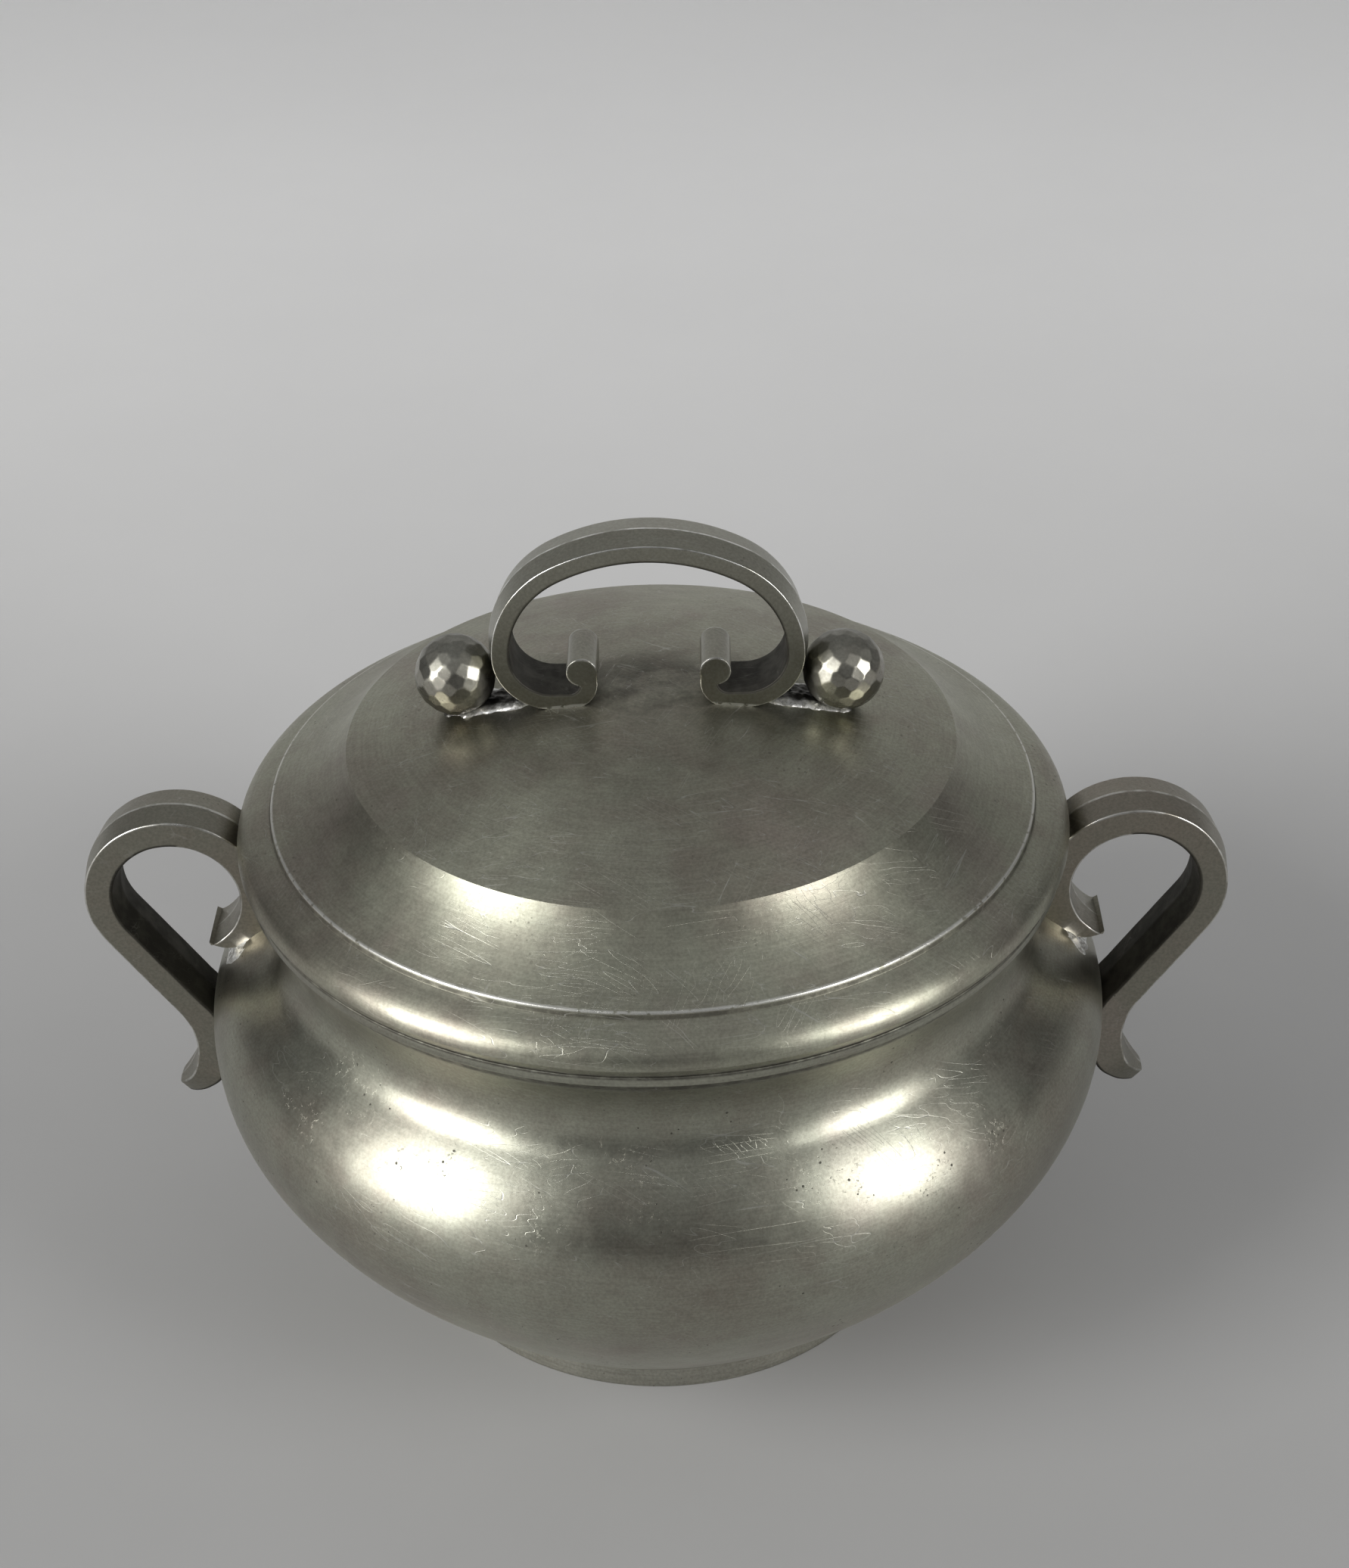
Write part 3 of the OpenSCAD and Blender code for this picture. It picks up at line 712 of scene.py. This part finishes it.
def pewter(name, base=OLIVE, stain=BROWN, rough=0.30, turned=True, worn=0.0, pits=0.3,
           scratch=0.6, streak=1.0, anisotropy=0.0, tarnish=0.5, dark_bands=(), hollow=0.0,
           crevices=(), bright_spots=()):
    """Old pewter. turned adds the lathe's rings, worn brightens the edges marked as wear, hollow
    darkens the faces marked as hollow with dirt and painted shade, and dark_bands are (low z,
    high z, strength) stretches darkened with painted shade and some dirt. crevices and bright_spots
    are functions of |x|, |y| and z: crevices give darkening (dirt and painted contact shadow), and
    bright_spots give brightening (bright metal, and the painted highlight on the lid's step)."""
    n = Nodes(name)
    place = n.vector("SCALE", n.add("TexCoord").outputs["Object"], 1 / MM)
    split = n.add("SeparateXYZ")
    n.link(place, split.inputs[0])
    x, y, z = split.outputs
    flat = n.add("CombineXYZ")
    n.link(x, flat.inputs[0])
    n.link(y, flat.inputs[1])
    radius = n.vector("LENGTH", flat.outputs[0])
    round_ = n.vector("NORMALIZE", flat.outputs[0])

    def rings(angular, across, detail, rough_):
        """Noise drawn out along the turning direction."""
        around = n.vector("SCALE", round_, angular)
        both = n.add("CombineXYZ")
        apart = n.add("SeparateXYZ")
        n.link(around, apart.inputs[0])
        n.link(apart.outputs[0], both.inputs[0])
        n.link(apart.outputs[1], both.inputs[1])
        n.put(both.inputs[2], n.math("MULTIPLY", z, across))
        return n.noise(both.outputs[0], 1.0, detail, rough_, w=n.math("MULTIPLY", radius, across))

    # Colour: broad tarnish, cloudy patches and fine grain
    broad = n.ramp(n.noise(place, 0.035, 4, 0.6), 0.42, 0.66)
    cloud = n.ramp(n.noise(place, 0.16, 5, 0.65), 0.40, 0.68)
    grain = n.noise(place, 2.4, 3, 0.6)
    stained = n.math("MULTIPLY", n.math("ADD", n.math("MULTIPLY", broad, 0.65),
                                        n.math("MULTIPLY", cloud, 0.35)), tarnish, clamp=True)
    colour = n.mix(stained, base, stain)
    rose = n.ramp(n.noise(n.vector("ADD", place, (71, 13, 29)), 0.05, 3, 0.5), 0.55, 0.72)
    colour = n.mix(n.math("MULTIPLY", rose, 0.45 * tarnish), colour, ROSE)
    light = n.ramp(grain, 0.25, 0.75, 0.86, 1.12)
    if turned:
        lines = rings(5.0, 3.0, 4, 0.7)
        swing = 0.14 * streak
        light = n.math("MULTIPLY", light, n.ramp(lines, 0.28, 0.72, 1 - swing, 1 + swing))
    shade = n.add("VectorMath", operation="SCALE")
    n.link(colour, shade.inputs[0])
    n.put(shade.inputs["Scale"], light)
    colour = shade.outputs[0]

    # Scratches: thin straight lines in several directions, each set kept to its own patches and
    # to surfaces that run along it
    normal = n.add("TexCoord").outputs["Normal"]
    marks = None
    for k, (pitch, turn) in enumerate(SCRATCH_DIRECTIONS):
        tilt = Euler((0, math.radians(pitch), math.radians(turn)))
        map_ = n.add("Mapping", vector_type="TEXTURE")
        n.link(place, map_.inputs["Vector"])
        map_.inputs["Rotation"].default_value = tilt
        map_.inputs["Scale"].default_value = (26.0, 1.3 - 0.08 * k, 1.5)
        map_.inputs["Location"].default_value = (k * 17.0, k * 5.0, 0)
        line = n.noise(map_.outputs[0], 1.0, 0.0, 0.4)
        thin = n.ramp(n.math("ABSOLUTE", n.math("SUBTRACT", line, 0.5)), 0.0, 0.008, 1.0, 0.0)
        where = n.ramp(n.noise(n.vector("ADD", place, (k * 31.0, 7.0, k * 3.0)), 0.08, 2, 0.5),
                       0.50, 0.60)
        along = tuple(tilt.to_matrix() @ Vector((1, 0, 0)))
        off = n.math("ABSOLUTE", n.vector("DOT_PRODUCT", normal, along))
        one = n.math("MULTIPLY", n.math("MULTIPLY", thin, where), n.ramp(off, 0.2, 0.45, 1.0, 0.0))
        marks = one if marks is None else n.math("MAXIMUM", marks, one)
    marks = n.math("MULTIPLY", marks, scratch)

    # Pits: small dark specks, thicker in some places
    specks = n.add("TexVoronoi", feature="F1")
    n.link(place, specks.inputs["Vector"])
    specks.inputs["Scale"].default_value = 0.75
    crowd = n.ramp(n.noise(n.vector("ADD", place, (5, 91, 44)), 0.09, 4, 0.6), 0.48, 0.68)
    size = n.math("MULTIPLY", crowd, 0.16)
    pitted = n.math("MULTIPLY", n.math("LESS_THAN", specks.outputs["Distance"], size), pits)
    fine = n.ramp(n.noise(place, 1.3, 6, 0.75), 0.57, 0.72)
    grimy = n.math("MULTIPLY", n.math("MULTIPLY", fine, crowd), pits)
    dirt_and_shade = n.math("MAXIMUM", pitted, grimy)

    # The bands are painted shade with some dirt: in seams, under overhangs, on the lid's step and low
    # on the balls
    for low, high, strength in dark_bands:
        middle, reach = (low + high) / 2, (high - low) / 2
        off = n.math("ABSOLUTE", n.math("SUBTRACT", z, middle))
        patchy = n.ramp(n.noise(place, 0.5, 4, 0.65), 0.3, 0.6, 0.6, 1.0)
        band = n.math("MULTIPLY", n.ramp(off, reach * 0.35, reach, 1.0, 0.0), patchy)
        dirt_and_shade = n.math("MAXIMUM", dirt_and_shade, n.math("MULTIPLY", band, strength))
    across, deep = n.math("ABSOLUTE", x), n.math("ABSOLUTE", y)
    # Dark marks from the crevices functions: dirt, and painted contact shadow
    for darkener in crevices:
        dirt_and_shade = n.math("MAXIMUM", dirt_and_shade, darkener(n, across, deep, z))

    inner = 0.0
    # Inner faces marked hollow are darkened: dirt and patina, and painted shade
    if hollow:
        inner = n.add("Attribute", attribute_name="hollow").outputs["Fac"]
        patchy = n.ramp(n.noise(place, 0.3, 5, 0.7), 0.32, 0.60, 0.85, 1.0)
        dirt_and_shade = n.math("MAXIMUM", dirt_and_shade, n.math("MULTIPLY", n.math("MULTIPLY", inner, patchy), hollow))

    # Dirt and painted shade darken the colour towards soot
    colour = n.mix(dirt_and_shade, colour, SOOT_AND_SHADE)
    for shine in bright_spots:
        ragged = n.ramp(n.noise(place, 0.9, 3, 0.6), 0.32, 0.47)
        colour = n.mix(n.math("MULTIPLY", shine(n, across, deep, z), ragged), colour, RUBBED_AND_HIGHLIGHT)
    colour = n.mix(n.math("MULTIPLY", marks, 0.45), colour, BRIGHT)
    roughness = n.ramp(n.noise(place, 0.22, 4, 0.6), 0.3, 0.7, rough - 0.02, rough + 0.04)
    roughness = n.math("ADD", roughness, n.math("MULTIPLY", dirt_and_shade, 0.3), clamp=True)
    if worn:
        wear = n.add("Attribute", attribute_name="wear").outputs["Fac"]
        patch = n.ramp(n.noise(place, 0.35, 4, 0.6), 0.38, 0.60, 0.15, 1.0)
        wear = n.math("MULTIPLY", n.ramp(wear, 0.30, 0.85), patch)
        wear = n.math("MULTIPLY", wear, n.math("SUBTRACT", 1.0, inner))
        colour = n.mix(n.math("MULTIPLY", wear, worn), colour, RUBBED_AND_HIGHLIGHT)
        roughness = n.math("SUBTRACT", roughness, n.math("MULTIPLY", wear, 0.08), clamp=True)

    # Relief
    height = n.math("MULTIPLY", grain, 0.25)
    if turned:
        height = n.math("ADD", height, n.math("MULTIPLY", rings(7.0, 6.0, 3, 0.6), 0.55 * streak))
    height = n.math("SUBTRACT", height, n.math("MULTIPLY", dirt_and_shade, 1.2))
    height = n.math("SUBTRACT", height, n.math("MULTIPLY", marks, 0.8))
    relief = n.add("Bump")
    relief.inputs["Strength"].default_value = 0.30
    relief.inputs["Distance"].default_value = 0.00006
    n.link(height, relief.inputs["Height"])
    soft = n.add("Bump")
    soft.inputs["Strength"].default_value = 0.5
    soft.inputs["Distance"].default_value = 0.00018
    n.link(n.noise(place, 0.12, 2, 0.5), soft.inputs["Height"])
    n.link(relief.outputs[0], soft.inputs["Normal"])

    n.link(colour, n.shader.inputs["Base Color"])
    n.link(roughness, n.shader.inputs["Roughness"])
    n.link(soft.outputs[0], n.shader.inputs["Normal"])
    n.shader.inputs["Metallic"].default_value = 1.0
    if anisotropy:
        n.shader.inputs["Anisotropic"].default_value = anisotropy
        tangent = n.add("Tangent", direction_type="RADIAL", axis="Z")
        n.link(tangent.outputs[0], n.shader.inputs["Tangent"])
        n.shader.inputs["Anisotropic Rotation"].default_value = 0.25
    return n.material


def solder_material():
    n = Nodes("rough_solder")
    place = n.vector("SCALE", n.add("TexCoord").outputs["Object"], 1 / MM)
    lumps = n.noise(place, 1.1, 5, 0.7)
    colour = n.mix(n.ramp(lumps, 0.38, 0.56), (0.36, 0.355, 0.33), (0.90, 0.90, 0.88))
    split = n.add("SeparateXYZ")
    n.link(place, split.inputs[0])
    deep = n.math("ABSOLUTE", split.outputs[1])
    on_lid = n.math("GREATER_THAN", split.outputs[2], RIM_Z)
    # On the lid, the solder's middle is painted near-black: dirt and painted shadow in the gap between
    # the ball and the bail's heel
    under = n.math("MULTIPLY", n.ramp(deep, 1.6, 2.3, 0.95, 0.0), on_lid)
    colour = n.mix(under, colour, SOOT_AND_SHADE)
    n.link(colour, n.shader.inputs["Base Color"])
    n.link(n.ramp(lumps, 0.3, 0.7, 0.5, 0.28), n.shader.inputs["Roughness"])
    n.shader.inputs["Metallic"].default_value = 0.85
    relief = n.add("Bump")
    relief.inputs["Strength"].default_value = 0.5
    relief.inputs["Distance"].default_value = 0.00018
    n.link(lumps, relief.inputs["Height"])
    n.link(relief.outputs[0], n.shader.inputs["Normal"])
    return n.material


def floor_material():
    n = Nodes("pale_floor")
    place = n.add("TexCoord").outputs["Object"]
    split = n.add("SeparateXYZ")
    n.link(place, split.inputs[0])
    cloudy = n.ramp(n.noise(place, 6.0, 4, 0.6), 0.3, 0.7, -0.02, 0.02)
    # Painted light: the floor's colour grows paler towards the back and up the backdrop
    back = n.math("ADD", n.ramp(split.outputs[1], -0.12, 0.5), cloudy, clamp=True)
    n.link(n.mix(back, FLOOR_FRONT, FLOOR_BACK), n.shader.inputs["Base Color"])
    n.shader.inputs["Roughness"].default_value = 0.7
    n.shader.inputs["Specular IOR Level"].default_value = 0.25
    return n.material


def dress(obj, body, nodes, material):
    """Puts a finished piece on its CAD body, in place of the nodes that it stands for."""
    obj.data.materials.clear()
    obj.data.materials.append(material)
    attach(obj, body)
    if nodes:
        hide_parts(*nodes)


def heel_grime_and_shadow(n, across, deep, z):
    """Black dirt and painted contact shadow on the bail's heel where the ball stands against it."""
    dirt_and_shade = n.ramp(across, HEEL_X + BAIL_HEEL_R - 3.2, HEEL_X + BAIL_HEEL_R - 1.8)
    dirt_and_shade = n.math("MULTIPLY", dirt_and_shade, n.ramp(z, BALL_Z - 0.5, BALL_Z + 2.5, 1.0, 0.0))
    return n.math("MULTIPLY", dirt_and_shade, n.ramp(deep, BAIL_W / 2 - 0.25, BAIL_W / 2 - 0.1, 0.95, 0.0))


def above_disc(n, across, z):
    """Height of a place near the XZ plane above the lid's disc."""
    drop = n.math("MULTIPLY", n.math("POWER", across, 2.0), 0.5 / DOME_R)
    return n.math("SUBTRACT", n.math("ADD", z, drop), DOME_C + DOME_R)


def toe_bead(n, across, deep, z):
    """The line of solder along the lower edge of the bail's feet."""
    low = n.ramp(above_disc(n, across, z), 0.25, 0.45, 0.95, 0.0)
    return n.math("MULTIPLY", low, n.ramp(deep, BAIL_W / 2 - 0.3, BAIL_W / 2 - 0.1))


def step_rub_and_highlight(n, across, deep, z):
    """The small step's top edge round the lid, painted bright: a rubbed edge and a painted highlight.
    """
    off = n.math("ABSOLUTE", n.math("SUBTRACT", z, SKIRT_Z - 0.04))
    return n.ramp(off, 0.08, 0.22, 0.65, 0.0)


def dark_patches_by_feet(n, across, deep, z):
    """Darker brown-black patches on the disc round the bail's feet and between them."""
    place = n.vector("SCALE", n.add("TexCoord").outputs["Object"], 1 / MM)
    patchy = n.ramp(n.noise(place, 0.12, 5, 0.65), 0.36, 0.62, 0.25, 1.0)
    near = n.math("MULTIPLY", n.ramp(across, 16.0, 30.0, 1.0, 0.0),
                  n.ramp(deep, 3.0, 13.0, 0.62, 0.0))
    on_disc = n.math("GREATER_THAN", z, DISC_Z + 1.0)
    return n.math("MULTIPLY", n.math("MULTIPLY", near, patchy), on_disc)


def ball_grime_and_shadow(n, across, deep, z):
    """Black dirt and painted contact shadow on the side of a ball that faces the bail."""
    dirt_and_shade = n.ramp(across, BALL_X - 4.6, BALL_X - 2.6, 0.95, 0.0)
    return n.math("MULTIPLY", dirt_and_shade, n.ramp(z, BALL_Z + 1.0, BALL_Z + 3.5, 1.0, 0.0))


# ---- The bowl -----------------------------------------------------------------------------

# The bowl's dark bands are painted shade with some dirt, under the rim and where the body meets the
# foot
bowl_metal = pewter("bowl_pewter", rough=0.35, streak=0.45, pits=0.8, scratch=0.8, tarnish=0.75,
                    anisotropy=0.5, dark_bands=((RIM_LOW - 2.2, RIM_LOW + 0.9, 0.85),
                                                (FOOT_H - 0.6, FOOT_H + 1.4, 0.85)))
# The rim band's dark band is painted shade with some dirt, at the seam under the lid
rim_metal = pewter("rim_band_pewter", rough=0.32, pits=0.5, tarnish=0.5,
                   dark_bands=((RIM_Z - 0.6, RIM_Z + 0.6, 0.85),))
# The foot ring's dark band is painted shade with some dirt, where the foot meets the body
foot_metal = pewter("foot_pewter", base=(0.42, 0.415, 0.36), rough=0.33, pits=0.4, tarnish=0.35,
                    dark_bands=((FOOT_H - 0.3, FOOT_H + 0.4, 0.85),))
# The lid's dark bands are painted shade with some dirt at the seam, and a painted dark reflection on
# the step's wall; its bright spot is the step's rubbed edge with a painted highlight
lid_metal = pewter("lid_pewter", base=(0.385, 0.387, 0.31), rough=0.38, pits=0.35, scratch=0.9,
                   streak=0.6, tarnish=0.8, anisotropy=0.5,
                   dark_bands=((RIM_Z - 0.5, RIM_Z + 0.7, 0.85),
                               (STEP_Z + 0.1, SKIRT_Z - 0.15, 0.75)),
                   crevices=(dark_patches_by_feet,), bright_spots=(step_rub_and_highlight,))
# hollow darkens the handles' inner faces: dirt and patina, and painted shade
cast_metal = pewter("cast_pewter", base=(0.255, 0.248, 0.205), rough=0.36, turned=False, worn=0.5,
                    pits=0.7, scratch=0.35, tarnish=0.8, hollow=1.0)
# hollow darkens the bail's inner face: dirt and patina, and painted shade; the heel adds painted
# contact shadow
bail_metal = pewter("bail_pewter", base=(0.315, 0.312, 0.262), rough=0.30, turned=False, worn=0.9,
                    pits=0.25, scratch=0.35, tarnish=0.35, hollow=1.0, crevices=(heel_grime_and_shadow,),
                    bright_spots=(toe_bead,))
# The ball's dark bands paint shade low on the ball, where it sits on the disc, and make its top darker
ball_metal = pewter("ball_pewter", base=(0.37, 0.367, 0.32), rough=0.26, turned=False, pits=0.5,
                    scratch=0.2, tarnish=0.6, crevices=(ball_grime_and_shadow,),
                    dark_bands=((BALL_Z - 7.2, BALL_Z - 3.9, 0.7), (BALL_Z + 2.5, BALL_Z + 8, 0.45)))
solder_metal = solder_material()

dress(make_bowl(), "bowl", ["bowl_body"], bowl_metal)
dress(make_rim_band(), "bowl", ["rim_band"], rim_metal)
dress(make_foot_ring(), "bowl", ["foot_ring"], foot_metal)
dress(make_side_handle("handle_strap_right", 1), "bowl", ["right_handle"], cast_metal)
dress(make_side_handle("handle_strap_left", -1), "bowl", ["left_handle"], cast_metal)
for label, side in (("right", 1), ("left", -1)):
    dress(make_horn_solder("horn_solder_" + label, side), "bowl", [], solder_metal)
dress(make_lid(), "lid", ["lid_shell"], lid_metal)
dress(make_bezel(), "lid", ["lid_bezel"], bowl_metal)
dress(make_bail(), "lid", ["lid_bail"], bail_metal)
dress(make_ball("planished_ball_right", BALL_X, 0), "lid", ["right_ball"], ball_metal)
dress(make_ball("planished_ball_left", -BALL_X, 40), "lid", ["left_ball"], ball_metal)
for label, side in (("right", 1), ("left", -1)):
    dress(make_solder("ball_solder_" + label, side), "lid", ["lid_solder"], solder_metal)

# ---- Floor, light and camera --------------------------------------------------------------

def make_floor():
    """A pale sheet that runs back and then curves up behind the bowl."""
    half, front, back, bend_r, top = 1.6, -1.4, 0.75, 0.45, 1.6
    line = [(front, 0.0), (back, 0.0)]
    for i in range(1, 13):
        a = math.radians(90 * i / 12)
        line.append((back + bend_r * math.sin(a), bend_r * (1 - math.cos(a))))
    line.append((back + bend_r, top))
    points, faces = [], []
    for y, z in line:
        points += [(-half / MM, y / MM, z / MM), (half / MM, y / MM, z / MM)]
    for i in range(len(line) - 1):
        faces.append((2 * i, 2 * i + 1, 2 * i + 3, 2 * i + 2))
    floor = make_object("floor", points, faces, 60)
    floor.data.materials.append(floor_material())


def make_lamp(name, azimuth, elevation, distance, size, power, colour=(1, 1, 1)):
    """A soft lamp aimed at the bowl. Azimuth 0 is in front and 90 to the right."""
    a, e = math.radians(azimuth), math.radians(elevation)
    away = Vector((math.sin(a) * math.cos(e), -math.cos(a) * math.cos(e), math.sin(e)))
    data = bpy.data.lights.new(name, "AREA")
    data.shape = "RECTANGLE"
    data.size, data.size_y = size
    data.energy = power
    data.color = colour
    lamp = bpy.data.objects.new(name, data)
    aim = Vector((0, 0, 0.06))
    lamp.location = aim + away * distance
    lamp.rotation_mode = "QUATERNION"
    lamp.rotation_quaternion = away.to_track_quat("Z", "Y")
    bpy.context.scene.collection.objects.link(lamp)


def make_world():
    """A dim room with a paler ceiling."""
    world = bpy.data.worlds.new("studio")
    world.use_nodes = True
    bpy.context.scene.world = world
    tree = world.node_tree
    background = tree.nodes["Background"]
    background.inputs["Color"].default_value = (0.80, 0.81, 0.82, 1)
    direction = tree.nodes.new("ShaderNodeTexCoord").outputs["Generated"]
    split = tree.nodes.new("ShaderNodeSeparateXYZ")
    tree.links.new(direction, split.inputs[0])
    rise = tree.nodes.new("ShaderNodeMapRange")
    rise.interpolation_type = "SMOOTHSTEP"
    for socket, number in zip(rise.inputs[1:5], (0.25, 1.0, SKY_LOW, SKY_HIGH)):
        socket.default_value = number
    tree.links.new(split.outputs[2], rise.inputs[0])
    tree.links.new(rise.outputs[0], background.inputs["Strength"])


SENSOR_W = 36.0
VIEW_REACH = 2.01907            # focal length of the photograph, over its width


def make_camera():
    """The photograph's view: a long lens, looking down at the bowl, which sits low in the frame."""
    distance, elevation, azimuth = 0.4298, 42.11, 1.5
    pan, tilt, roll = math.radians(0.47), math.radians(8.96), math.radians(1.66)
    el = math.radians(elevation)
    forward = Vector((0, math.cos(el), -math.sin(el)))
    right = Vector((1, 0, 0))
    up = right.cross(forward)
    view = Matrix((right, up, forward)).transposed()
    turn_roll = Matrix(((math.cos(roll), math.sin(roll), 0), (-math.sin(roll), math.cos(roll), 0),
                        (0, 0, 1)))
    turn_tilt = Matrix(((1, 0, 0), (0, math.cos(tilt), math.sin(tilt)),
                        (0, -math.sin(tilt), math.cos(tilt))))
    turn_pan = Matrix(((math.cos(pan), 0, math.sin(pan)), (0, 1, 0),
                       (-math.sin(pan), 0, math.cos(pan))))
    axes = view @ turn_pan @ turn_tilt @ turn_roll
    columns = axes.transposed()
    pose = Matrix((columns[0], columns[1], -columns[2])).transposed().to_4x4()
    pose.translation = -forward * distance
    data = bpy.data.cameras.new("camera")
    data.sensor_fit = "HORIZONTAL"
    data.sensor_width = SENSOR_W
    data.lens = SENSOR_W * VIEW_REACH
    data.clip_start, data.clip_end = 0.01, 20
    camera = bpy.data.objects.new("camera", data)
    camera.matrix_world = Matrix.Rotation(math.radians(azimuth), 4, "Z") @ pose
    bpy.context.scene.collection.objects.link(camera)
    bpy.context.scene.camera = camera


make_floor()
make_world()
make_lamp("soft_left", -57, 24, 0.95, (0.42, 0.72), 9.0, (1.0, 0.99, 0.975))
make_lamp("soft_right", 57, 23, 0.95, (0.34, 0.64), 5.6, (1.0, 0.99, 0.975))
make_camera()
bpy.context.scene.view_settings.view_transform = "Standard"
